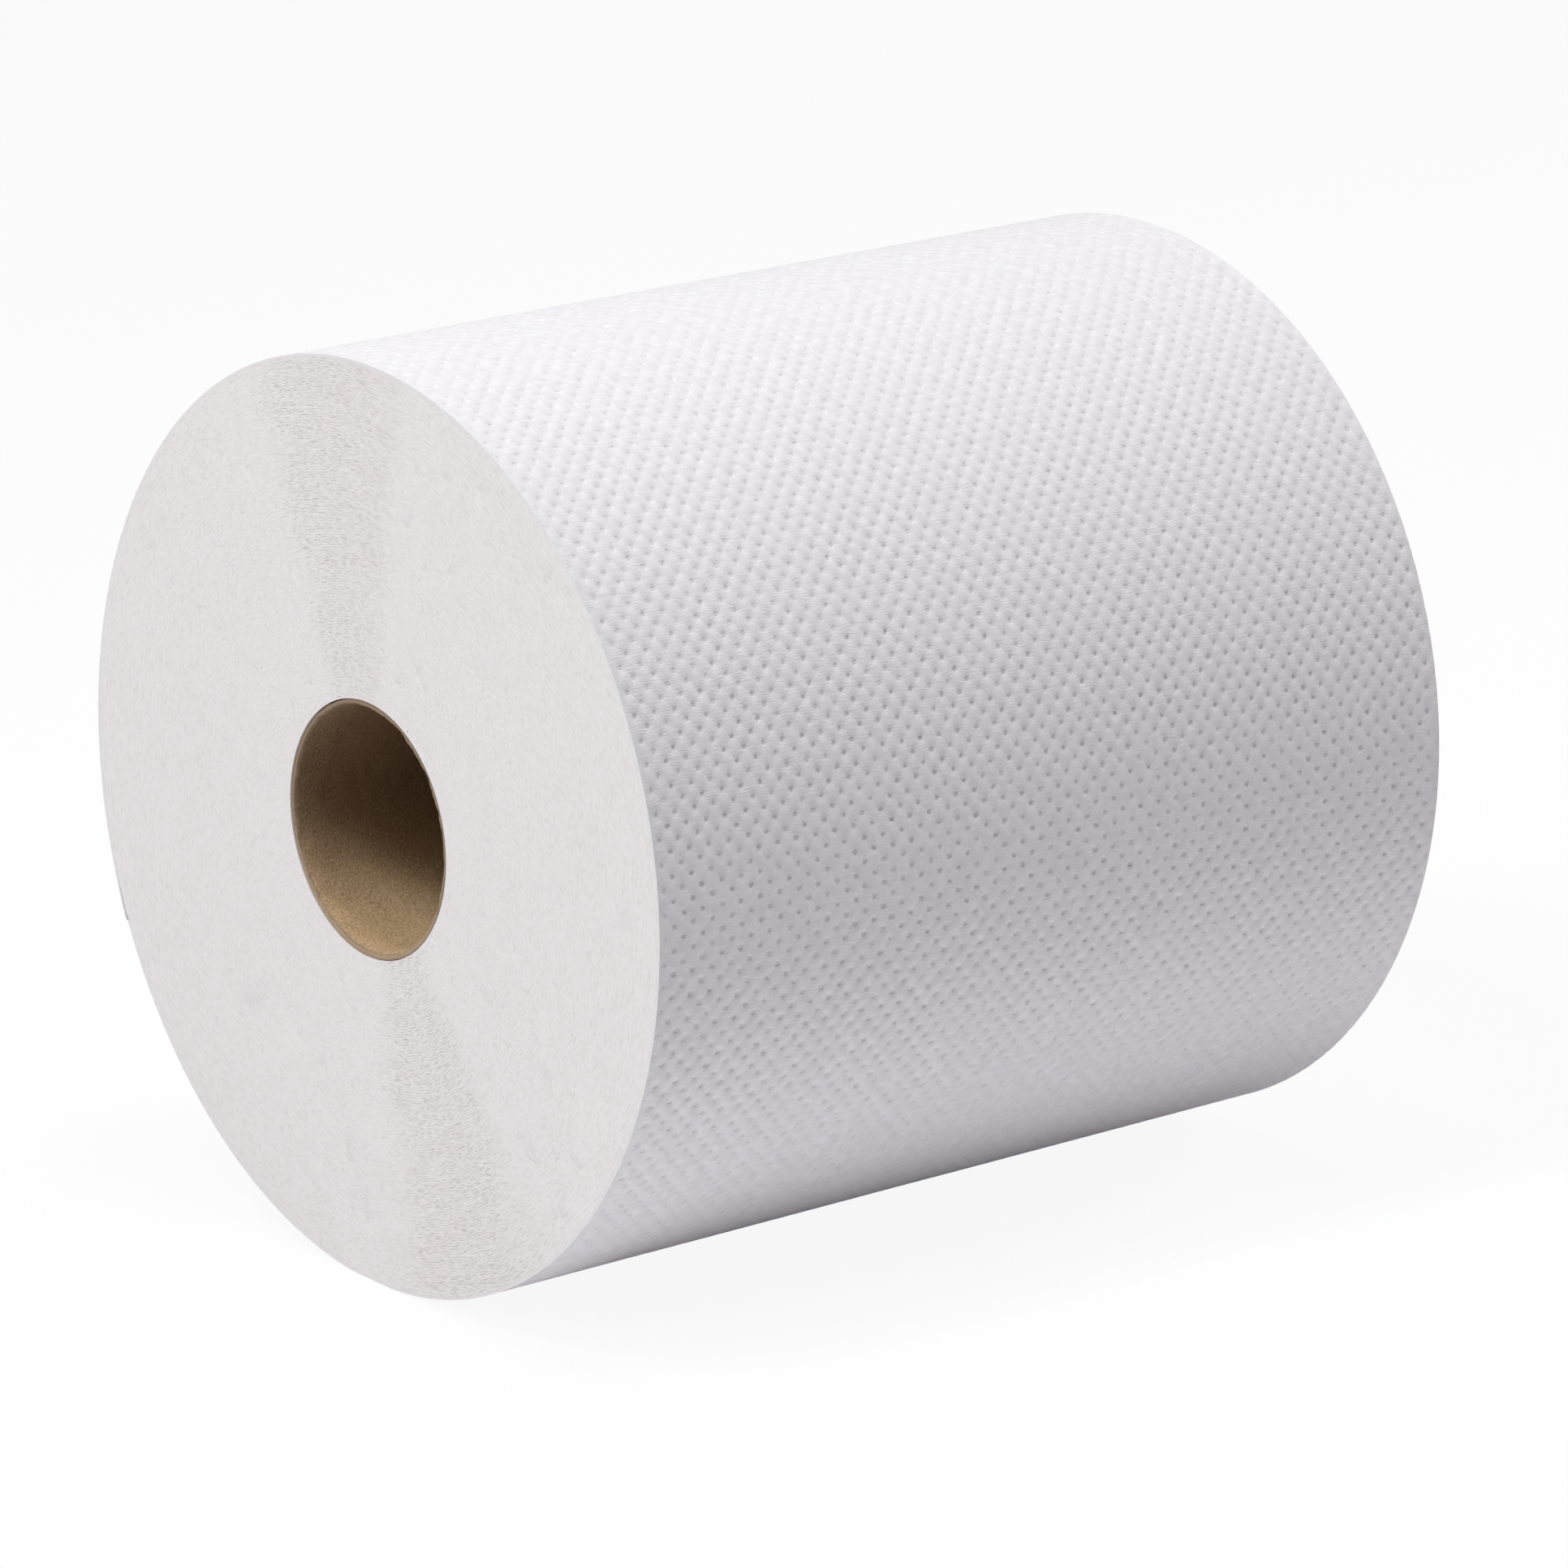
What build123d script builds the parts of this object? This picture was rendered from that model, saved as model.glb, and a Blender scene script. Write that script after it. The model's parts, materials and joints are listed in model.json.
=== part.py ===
from build123d import *
import os
from math import floor, sqrt

# Hard-wound paper towel roll lying on its side: one long embossed web wound on a cardboard core.
# The roll's axis runs along Y and its sawn ends face -Y and +Y. Z = 0 is the floor, under its middle.

# Roll and core, in millimetres
roll_width = 203.2          # sawn width of the web, along the axis
roll_diameter = 194.0       # over the outermost turn
core_bore = 50.8            # inside of the cardboard tube
core_wall = 1.5
winding_gap = 0.05          # air between the tube and the first turn

# Underside and free end
flat_width = 20.0           # flat spot that the roll's own weight presses into its soft turns
tail_thickness = 0.3        # step where the free end of the web lies on the turn below it
tail_angle = 205.0          # where that end lies: 0 is +X, 90 is up

# Turns on the sawn ends: one spiral gap for each bundle of turns
turn_pitch = 10.0           # thickness of a bundle
turn_gap_width = 0.8
turn_gap_depth = 0.6
rim_land = 2.4              # plain paper outside the last gap
core_land = 1.2             # plain paper between the core and the first gap

# Two bands where a squeeze has loosened the turns, so that more gaps stand open
loose_band_angles = (97.0, 293.0)
loose_band_span = 34.0      # degrees
loose_gaps_per_bundle = 2

roll_radius = roll_diameter / 2
core_radius = core_bore / 2 + core_wall
eye_radius = core_radius + winding_gap
axis_height = sqrt(roll_radius**2 - (flat_width / 2) ** 2)


def half_turns(outer_radius, pitch, count):
    # Semicircles about two centres, a quarter pitch either side of the axis, wind inwards.
    # Each comes as its centre's offset towards the tail, its radius and its start angle from the tail.
    turns = []
    for index in range(count):
        first_half = index % 2 == 0
        offset = pitch / 4 if first_half else -pitch / 4
        radius = outer_radius - (2 * index + 1) * pitch / 4
        turns.append((offset, radius, 0 if first_half else 180))
    return turns


def bundle_half_turns(outer_radius):
    # The half turns of one gap that winds from outer_radius to the land beside the core
    room = outer_radius - eye_radius - core_land
    return half_turns(outer_radius, turn_pitch, floor(room / (turn_pitch / 2)))


def turn_gap(offset, radius, start, span):
    # V-shaped gap between two turns, sunk into the end at +Z and curved about its own centre
    half_width = turn_gap_width / 2
    profile = Polygon(
        (radius - half_width, turn_gap_depth),
        (radius - half_width, 0),
        (radius, -turn_gap_depth),
        (radius + half_width, 0),
        (radius + half_width, turn_gap_depth),
        align=None,
    )
    gap = revolve(Plane.XZ * profile, Axis.Z, revolution_arc=span)
    return Pos(offset, 0, roll_width / 2) * Rot(0, 0, start) * gap


def spiral_gaps():
    turns = bundle_half_turns(roll_radius - rim_land)
    return [turn_gap(offset, radius, start, 180) for offset, radius, start in turns]


def loose_gaps():
    # Extra gaps, evenly spaced within each bundle, where a loose band crosses its half of the turn
    gaps = []
    spacing = turn_pitch / (loose_gaps_per_bundle + 1)
    for step in range(1, loose_gaps_per_bundle + 1):
        outermost = roll_radius - rim_land - step * spacing
        for offset, radius, start in bundle_half_turns(outermost):
            for band in loose_band_angles:
                from_tail = (tail_angle - band) % 360
                if start <= from_tail < start + 180:
                    gaps.append(turn_gap(offset, radius, from_tail - loose_band_span / 2, loose_band_span))
    return gaps


def paper_web():
    # One turn of spiral outline, drawn counter-clockwise from the step at the free end
    turns = half_turns(roll_radius, tail_thickness, 2)
    outline = [CenterArc((offset, 0), radius, start, 180) for offset, radius, start in turns]
    tail_step = Line(outline[1] @ 1, outline[0] @ 0)
    section = make_face([*outline, tail_step])
    web = extrude(section, roll_width / 2, both=True)
    front_gaps = spiral_gaps() + loose_gaps()
    back_gaps = [mirror(gap, about=Plane.XY) for gap in front_gaps]
    web = web - front_gaps - back_gaps
    web = web - Cylinder(eye_radius, roll_width)
    # Mirrored, the web comes over the top of the roll and its free end hangs down the -X side
    web = Rot(0, 0, tail_angle) * mirror(web, about=Plane.XZ)
    below = Box(roll_diameter, roll_diameter, roll_width, align=(Align.CENTER, Align.MAX, Align.CENTER))
    return web - Pos(0, -axis_height, 0) * below


def core_tube():
    return Cylinder(core_radius, roll_width) - Cylinder(core_bore / 2, roll_width)


# Lay the upright roll down: its axis turns from +Z to -Y, and its flat spot comes to the floor
laid_down = Pos(0, 0, axis_height) * Rot(90, 0, 0)
parts = {
    "paper_roll": laid_down * paper_web(),
    "cardboard_core": laid_down * core_tube(),
}

os.makedirs("parts", exist_ok=True)
for name, solid in parts.items():
    export_step(solid, f"parts/{name}.step")
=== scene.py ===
import json
import math
import bmesh
import bpy
import numpy as np
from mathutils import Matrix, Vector
from mathutils.geometry import delaunay_2d_cdt


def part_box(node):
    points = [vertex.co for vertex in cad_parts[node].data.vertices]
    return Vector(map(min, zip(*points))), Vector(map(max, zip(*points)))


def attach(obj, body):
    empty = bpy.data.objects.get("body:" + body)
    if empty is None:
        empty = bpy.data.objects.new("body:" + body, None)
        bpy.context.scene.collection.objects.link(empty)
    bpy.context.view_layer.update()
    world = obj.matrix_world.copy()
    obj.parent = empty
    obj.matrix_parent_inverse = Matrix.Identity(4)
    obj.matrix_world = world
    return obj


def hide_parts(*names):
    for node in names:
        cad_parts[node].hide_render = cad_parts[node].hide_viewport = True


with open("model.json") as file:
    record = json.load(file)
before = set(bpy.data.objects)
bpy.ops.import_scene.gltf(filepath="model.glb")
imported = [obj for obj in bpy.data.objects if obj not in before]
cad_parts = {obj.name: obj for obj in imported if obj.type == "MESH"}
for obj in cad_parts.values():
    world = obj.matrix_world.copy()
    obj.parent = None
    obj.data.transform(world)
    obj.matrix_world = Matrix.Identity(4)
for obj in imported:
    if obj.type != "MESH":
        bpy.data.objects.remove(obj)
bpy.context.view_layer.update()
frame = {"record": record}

mm = 0.001
near = 0.01 * mm                  # closer than this counts as the same place

# Roll sizes come from the frame; the free end of the web repeats the solid's angle and step
bore = next(m for m in frame["record"]["mounts"] if m["name"] == "core_bore")
axisHeight = bore["pos_m"][2]
boreRadius = bore["dims"]["r_mm"] * mm
paperLow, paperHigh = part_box("paper_roll")
coreLow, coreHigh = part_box("cardboard_core")
rollWidth = paperHigh[1] - paperLow[1]
coreRadius = (coreHigh[0] - coreLow[0]) / 2
tail = {
    "angle": math.radians(205),   # 0 is +X and 90 is up, seen on the front end
    "step": 0.3 * mm,
    "lift": 0.5 * mm,             # the free edge curls away by up to this
    "liftReach": 18 * mm,
    "leastCurl": 0.3,             # share of the lift where the edge curls least
    "curlStep": 38 * mm,          # length of edge over which the curl changes
}
topToTail = (tail["angle"] - math.pi / 2) / (2 * math.pi)   # turns of web between the top and the free end
rollRadius = paperHigh[2] - axisHeight + tail["step"] * topToTail
turnLength = 2 * math.pi * (rollRadius - tail["step"] / 2)
print("roll radius", round(rollRadius / mm, 2), "mm, width", round(rollWidth / mm, 2), "mm")


# Small helpers for meshes made from number arrays
def webRadius(phi):
    # radius of the outer turn at phi back along the web from its free end, flattened on the floor
    radius = rollRadius - tail["step"] * phi / (2 * math.pi)
    down = -np.sin(tail["angle"] - phi)
    onFloor = axisHeight / np.maximum(down, 0.5)
    return np.where(down > 0.5, np.minimum(radius, onFloor), radius)


def onRoll(theta, radius, y):
    return np.stack([radius * np.cos(theta), y, axisHeight + radius * np.sin(theta)], axis=-1)


def smoothStep(x):
    x = np.clip(x, 0, 1)
    return x * x * (3 - 2 * x)


def atLeast(least, share):
    # a share between 0 and 1, squeezed to lie between least and 1
    return least + (1 - least) * share


def noiseCurve(rng, cells=512):
    # a smooth random curve between 0 and 1, with a new value at each whole number
    table = rng.random(cells)

    def curve(x):
        whole = np.floor(x).astype(int)
        part = smoothStep(x - whole)
        return table[whole % cells] * (1 - part) + table[(whole + 1) % cells] * part

    return curve


def meshObject(name, points, faces, smooth=True):
    # faces is a list of arrays, each with its own number of corners
    faces = [np.asarray(group) for group in faces if len(group)]
    corners = np.concatenate([group.ravel() for group in faces]).astype(np.int32)
    counts = np.concatenate([np.full(len(group), group.shape[1]) for group in faces])
    starts = np.concatenate([[0], np.cumsum(counts)[:-1]]).astype(np.int32)
    mesh = bpy.data.meshes.new(name)
    mesh.vertices.add(len(points))
    mesh.vertices.foreach_set("co", np.asarray(points, np.float32).ravel())
    mesh.loops.add(len(corners))
    mesh.loops.foreach_set("vertex_index", corners)
    mesh.polygons.add(len(counts))
    mesh.polygons.foreach_set("loop_start", starts)
    mesh.polygons.foreach_set("use_smooth", np.full(len(counts), smooth))
    mesh.update(calc_edges=True)
    mesh.validate()
    made = bpy.data.objects.new(name, mesh)
    bpy.context.scene.collection.objects.link(made)
    return made


def pointValues(made, name, values):
    layer = made.data.attributes.new(name, "FLOAT", "POINT")
    layer.data.foreach_set("value", np.asarray(values, np.float32))


def finishMesh(made, sharpAngle, flatCorners=0):
    # normals outwards; edges that turn by more than sharpAngle are sharp
    # and faces with flatCorners corners are flat
    bm = bmesh.new()
    bm.from_mesh(made.data)
    bmesh.ops.recalc_face_normals(bm, faces=bm.faces[:])
    for f in bm.faces:
        f.smooth = len(f.verts) != flatCorners
    for e in bm.edges:
        e.smooth = e.calc_face_angle(0) < sharpAngle
    bm.to_mesh(made.data)
    bm.free()
    triangles = sum(len(p.vertices) - 2 for p in made.data.polygons)
    print(made.name, "has", len(made.data.vertices), "points and", triangles, "triangles")


def zipRows(rowA, rowB, keyA, keyB):
    # triangles between two rows of points, each in rising order of its key
    out = []
    i = j = 0
    while i < len(rowA) - 1 or j < len(rowB) - 1:
        stepA = j == len(rowB) - 1 or (i < len(rowA) - 1 and keyA[i + 1] <= keyB[j + 1])
        if stepA:
            out.append((rowA[i], rowA[i + 1], rowB[j]))
            i += 1
        else:
            out.append((rowA[i], rowB[j + 1], rowB[j]))
            j += 1
    return out


# Embossed outer turn: a lattice of pressed dots, cut to the web's width and wound once round the roll
web = {
    "pitchAlong": 4.736 * mm,
    "pitchRound": 4.9 * mm,
    "tilt": math.radians(1.3),     # the rows of dots run slightly out of square
    "rimRadius": 0.93 * mm,
    "bottomRadius": 0.42 * mm,
    "dotDepth": 0.28 * mm,
    "depthSpread": 0.13,
    "radiusSpread": 0.07,
    "placeSpread": 0.08 * mm,
    "pillow": 0.045 * mm,          # the paper between the dots stands this much proud of their rims
    "edgeFade": 2.4 * mm,          # the saw has pressed the dots flat along its cuts
    "cutRelief": 0.2,              # share of the relief that is left there
    "thickness": 0.54 * mm,
    "spare": 30 * mm,              # lattice beyond the sheet's edges, cut off again
    "rowsBefore": 5,               # rows of it before the free end
    "sag": 0.06 * mm,              # the web hugs the roll unevenly, by up to this
    "sagAlong": 23 * mm,
    "sagRound": 31 * mm,
    "halves": {
        # piece and its stretches, in degrees back from the free end
        "embossed_web_right": ((105, 285),),
        "embossed_web_left": ((0, 105), (285, 360)),
    },
    "seed": 11,
}


def dotLattice():
    # flat sheet with x along the roll and y round it; each dot has 17 points
    # 0 to 7 are its rim, 8 to 15 its bottom, and 16 lies on the land between it and the next dot
    rng = np.random.default_rng(web["seed"])
    colCount = int((rollWidth + 2 * web["spare"]) / web["pitchAlong"])
    rowCount = int((turnLength + web["spare"]) / web["pitchRound"] * 2)
    row, col = np.meshgrid(np.arange(rowCount), np.arange(colCount), indexing="ij")
    along = (col - colCount / 2 + (row % 2) / 2) * web["pitchAlong"]
    around = (row - web["rowsBefore"]) * web["pitchRound"] / 2
    x = along * math.cos(web["tilt"]) - (around - turnLength / 2) * math.sin(web["tilt"])
    y = along * math.sin(web["tilt"]) + around
    x = x + rng.normal(0, web["placeSpread"], x.shape)
    y = y + rng.normal(0, web["placeSpread"], x.shape)
    depth = web["dotDepth"] * np.clip(rng.normal(1, web["depthSpread"], x.shape), 0.5, 1.3)
    size = np.clip(rng.normal(1, web["radiusSpread"], x.shape), 0.82, 1.18)
    turn = np.radians(22.5 + 45 * np.arange(8))

    def ring(radius, height, uneven):
        wobble = radius * (1 + uneven * rng.normal(0, 1, (*x.shape, 8)))
        ringX = x[..., None] + size[..., None] * wobble * np.cos(turn)
        ringY = y[..., None] + size[..., None] * wobble * np.sin(turn)
        return np.stack([ringX, ringY, height[..., None] + 0 * ringX], axis=-1)

    rimHeight = -web["pillow"] * rng.uniform(0.7, 1.0, x.shape)
    rims = ring(web["rimRadius"], rimHeight, 0.05)
    bottoms = ring(web["bottomRadius"], -web["pillow"] - depth, 0.08)
    landX = (x + np.roll(x, -2, axis=0)) / 2
    landY = (y + np.roll(y, -2, axis=0)) / 2
    lands = np.stack([landX, landY, -0.3 * web["pillow"] * rng.random(x.shape)], axis=-1)[..., None, :]
    points = np.concatenate([rims, bottoms, lands], axis=2).reshape(-1, 3)
    first = 17 * np.arange(rowCount * colCount).reshape(rowCount, colCount)

    faces = []
    for m in range(8):
        n = (m + 1) % 8
        faces.append(np.stack([first + m, first + n, first + 8 + n, first + 8 + m], -1).reshape(-1, 4))
    faces.append(np.stack([first + 8 + m for m in range(8)], -1).reshape(-1, 8))
    for odd in (0, 1):
        # the neighbours of a dot in the next row stand half a pitch to its left and right
        low = first[odd:rowCount - 2:2, 1:-1]
        right = first[odd + 1:rowCount - 1:2, 1 + odd:colCount - 1 + odd]
        left = first[odd + 1:rowCount - 1:2, odd:colCount - 2 + odd]
        top = first[odd + 2::2, 1:-1]
        rows = min(len(low), len(right), len(left), len(top))
        low, right, left, top = low[:rows], right[:rows], left[:rows], top[:rows]
        faces.append(np.stack([low, right + 5, right + 4, low + 1], -1).reshape(-1, 4))
        faces.append(np.stack([low + 2, left + 7, left + 6, low + 3], -1).reshape(-1, 4))
        ringRound = [low + 2, low + 1, right + 4, right + 3, top + 6, top + 5, left, left + 7]
        for a, b in zip(ringRound, ringRound[1:] + ringRound[:1]):
            faces.append(np.stack([a, b, low + 16], -1).reshape(-1, 3))
    pressed = np.zeros((rowCount * colCount, 17))
    pressed[:, 8:16] = 1
    return points, faces, pressed.ravel()


def cutStretch(points, faces, pressed, low, high):
    # saw the lattice to the web's width and to the stretch from low to high
    half = rollWidth / 2
    kept = []
    for group in faces:
        x = points[group][:, :, 0]
        y = points[group][:, :, 1]
        touches = (x.max(1) > -half) & (x.min(1) < half) & (y.max(1) > low) & (y.min(1) < high)
        kept.append(group[touches])
    used = np.unique(np.concatenate([group.ravel() for group in kept]))
    renumber = np.zeros(len(points), int)
    renumber[used] = np.arange(len(used))
    sheet = meshObject("sheet", points[used], [renumber[group] for group in kept])
    pointValues(sheet, "dot", pressed[used])
    bm = bmesh.new()
    bm.from_mesh(sheet.data)
    bpy.data.objects.remove(sheet)
    cuts = (
        ((half, 0, 0), (1, 0, 0)),
        ((-half, 0, 0), (-1, 0, 0)),
        ((0, low, 0), (0, -1, 0)),
        ((0, high, 0), (0, 1, 0)),
    )
    for place, away in cuts:
        everything = bm.verts[:] + bm.edges[:] + bm.faces[:]
        cutAt = {"plane_co": place, "plane_no": away, "clear_outer": True, "dist": 1e-7}
        bmesh.ops.bisect_plane(bm, geom=everything, **cutAt)
    bmesh.ops.remove_doubles(bm, verts=bm.verts[:], dist=near / 2)
    strays = [v for v in bm.verts if not v.link_faces]
    bmesh.ops.delete(bm, geom=strays, context="VERTS")
    return bm


def shellOfStretch(points, faces, pressed, low, high):
    # the cut stretch with a twin of each outline point below it, closed to a thin shell
    bm = cutStretch(points, faces, pressed, low, high)
    dot = bm.verts.layers.float["dot"]
    bm.verts.index_update()
    top = np.array([v.co for v in bm.verts])
    dots = np.array([v[dot] for v in bm.verts])
    groups = {}
    for f in bm.faces:
        groups.setdefault(len(f.verts), []).append([v.index for v in f.verts])
    runs = []
    for e in bm.edges:
        if e.is_boundary:
            loop = e.link_loops[0]
            runs.append((loop.vert.index, loop.link_loop_next.vert.index))
    bm.free()

    outline = sorted({i for run in runs for i in run})
    under = {v: len(top) + n for n, v in enumerate(outline)}
    twins = top[outline].copy()
    twins[:, 2] = -web["thickness"]
    flat = np.concatenate([top, twins])
    front = sorted((i for i in outline if top[i, 0] < near - rollWidth / 2), key=lambda i: top[i, 1])
    rear = sorted((i for i in outline if top[i, 0] > rollWidth / 2 - near), key=lambda i: top[i, 1])
    start = sorted((i for i in outline if top[i, 1] < low + near), key=lambda i: top[i, 0])
    end = sorted((i for i in outline if top[i, 1] > high - near), key=lambda i: top[i, 0])
    frontUnder = [under[i] for i in front]
    rearUnder = [under[i] for i in rear]
    frontRow = frontUnder[1:-1]
    rearRow = rearUnder[1:-1]
    inner = zipRows(frontRow, rearRow, flat[frontRow, 1], flat[rearRow, 1])
    startCap = [under[i] for i in start] + [rearRow[0], frontRow[0]]
    endCap = [under[i] for i in reversed(end)] + [frontRow[-1], rearRow[-1]]
    walls = [(b, a, under[a], under[b]) for a, b in runs]
    arrays = [np.array(group) for group in groups.values()]
    arrays += [np.array(walls), np.array(inner), np.array([startCap]), np.array([endCap])]
    return flat, arrays, np.concatenate([dots, np.zeros(len(outline))])


def windSheet(flat):
    # wrap the flat sheet round the roll; its free end curls off a little and hugs it unevenly
    rng = np.random.default_rng(web["seed"] + 1)
    curlCurve, sagAlong, sagRound = noiseCurve(rng), noiseCurve(rng), noiseCurve(rng)
    start = 9                      # the noise curves are read from here
    along, back, rise = flat.T
    fromCut = (rollWidth / 2 - np.abs(along)) / web["edgeFade"]
    isTop = rise > near - web["thickness"]
    rise = np.where(isTop, rise * atLeast(web["cutRelief"], smoothStep(fromCut)), rise)
    phi = back / turnLength * 2 * math.pi
    curl = atLeast(tail["leastCurl"], curlCurve(along / tail["curlStep"] + start))
    lifted = tail["lift"] * curl * smoothStep(1 - back / tail["liftReach"]) ** 2
    sag = web["sag"] * sagAlong(along / web["sagAlong"] + start) * sagRound(back / web["sagRound"] + start)
    return onRoll(tail["angle"] - phi, webRadius(phi) + rise + lifted - sag, along)


def makeWeb():
    points, faces, pressed = dotLattice()
    pieces = []
    for name, stretches in web["halves"].items():
        allPoints, allFaces, allDots = [], [], []
        count = 0
        for low, high in stretches:
            ends = (low / 360 * turnLength, high / 360 * turnLength)
            flat, arrays, dots = shellOfStretch(points, faces, pressed, *ends)
            allPoints.append(windSheet(flat))
            allFaces += [group + count for group in arrays]
            allDots.append(dots)
            count += len(flat)
        piece = meshObject(name, np.concatenate(allPoints), allFaces)
        pointValues(piece, "dot", np.concatenate(allDots))
        finishMesh(piece, math.radians(60), flatCorners=8)
        pieces.append(piece)
    return pieces


webPieces = makeWeb()


# Wound turns: two sawn ends with short slits between the turns, many where a squeeze has loosened them
turns = {
    "rowPitch": 0.54,              # millimetres here, as is all of this piece's pattern
    "pitchSpread": (0.93, 1.07),
    "coreLand": 0.5,               # plain paper inside the first row of slits
    "rimLand": 0.35,               # and outside the last
    "dash": (1.6, 3.6),
    "rest": (0.3, 0.9),
    "halfWidth": (0.035, 0.09),
    "depth": (0.05, 0.18),
    "bands": (97, -67),            # middle of each loosened band, degrees
    "halfSpan": 17,
    "bandShift": (6, 9),           # a band wanders by this many degrees over this distance
    "bandRagged": (4, 0.8),
    "bandSwell": (0.4, 6),         # its span changes by this share over this distance
    "bandEdge": 0.35,              # share of its half span that fades out
    "flatShare": 0.32,             # loosening over the flat spot, near the rim
    "flatReach": (13, 9),          # how far in from the rim, and how much of that fades
    "flatSpan": (52, 16),          # degrees either side of the floor, and how much of that fades
    "coreShare": 0.7,              # loosening where the core's saw cut has torn the first turns
    "coreReach": 3,
    "coreStep": 9,                 # degrees
    "openInBand": 0.94,
    "openElsewhere": 0.06,
    "wave": 0.16,
    "waveStep": 2.2,               # degrees
    "scallop": 0.08,
    "between": 0.05,               # least paper between two slits
    "uneven": 0.15,                # turns stand back from the sawn plane by up to this in a band
    "ringSteps": 300,
    "eyeSteps": 200,
    "clearance": 0.03,
    "flatBulge": 0.01,             # keeps the points over the flat spot out of one line
    "bulgeHalf": 7,                # degrees
    "seed": 23,
}


def bandShare(rng, theta, radius):
    # 1 inside a loosened band and 0 outside, with a ragged edge that differs from turn to turn
    share = np.zeros(theta.shape)
    for middle in turns["bands"]:
        shiftCurve, raggedCurve, spanCurve = noiseCurve(rng), noiseCurve(rng), noiseCurve(rng)
        degrees, distance = turns["bandShift"]
        shift = degrees * (shiftCurve(radius / distance) - 0.5)
        degrees, distance = turns["bandRagged"]
        shift = shift + degrees * (raggedCurve(radius / distance) - 0.5)
        swell, distance = turns["bandSwell"]
        half = turns["halfSpan"] * (1 - swell / 2 + swell * spanCurve(radius / distance))
        away = np.abs((theta - middle - shift + 180) % 360 - 180)
        share = np.maximum(share, smoothStep((half - away) / (turns["bandEdge"] * half)))
    return share


def endSlits(rng, innerRadius, outerRadius):
    # slits as arrays: angle of the middle, radius, half length, half width, depth, share of loosening
    found = []
    radius = innerRadius + turns["coreLand"]
    while radius < outerRadius - turns["rimLand"]:
        count = int(2 * math.pi * radius / (turns["dash"][0] + turns["rest"][0]))
        lengths = rng.uniform(*turns["dash"], count)
        ends = np.cumsum(lengths + rng.uniform(*turns["rest"], count))
        fits = ends < 2 * math.pi * radius - turns["rest"][0]
        theta = np.degrees((ends - lengths / 2)[fits] / radius) + 360 * rng.random()
        found.append(np.stack([theta, np.full(len(theta), radius), lengths[fits] / 2], -1))
        radius += turns["rowPitch"] * rng.uniform(*turns["pitchSpread"])
    theta, radius, half = np.concatenate(found).T
    share = bandShare(rng, theta, radius)
    # some open over the flat spot and beside the core as well
    fromFloor = np.abs((theta + 90 + 180) % 360 - 180)
    reach, fade = turns["flatReach"]
    atFlat = smoothStep((radius - outerRadius + reach) / fade)
    reach, fade = turns["flatSpan"]
    atFlat = atFlat * smoothStep((reach - fromFloor) / fade)
    tornCurve = noiseCurve(rng, int(360 / turns["coreStep"]))
    atCore = smoothStep(1.2 - (radius - innerRadius) / turns["coreReach"])
    atCore = atCore * tornCurve(theta / turns["coreStep"])
    share = np.maximum(share, np.maximum(turns["flatShare"] * atFlat, turns["coreShare"] * atCore))
    patch = noiseCurve(rng)(theta / 7 + radius / 3.1)
    chance = turns["openElsewhere"] + (turns["openInBand"] - turns["openElsewhere"]) * share
    opened = rng.random(len(theta)) < chance
    gape = rng.random(len(theta)) ** 2 * atLeast(0.25, share) * atLeast(0.55, patch)
    low, high = turns["halfWidth"]
    width = low + (high - low) * gape
    low, high = turns["depth"]
    depth = (low + (high - low) * rng.random(len(theta))) * atLeast(0.45, share)
    half = half * atLeast(0.6, share)
    return np.stack([theta, radius, half, width, depth, share], -1)[opened]


def keepApart(angle, away):
    # which slits stay clear of those in the rows inside them
    cells = 7200
    cell = 2 * math.pi / cells
    reached = np.zeros(cells)
    clear = np.ones(len(angle), bool)
    for n, (turned, out) in enumerate(zip(angle, away)):
        first, last = turned[[0, 4]] / cell
        over = np.arange(math.floor(first), last + 1)
        at = over * cell
        low = np.interp(at, turned[[0, 7, 6, 5, 4]], out[[0, 7, 6, 5, 4]])
        high = np.interp(at, turned[:5], out[:5])
        over = over.astype(int) % cells
        clear[n] = (low > reached[over] + turns["between"]).all()
        if clear[n]:
            reached[over] = high
    return clear


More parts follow.
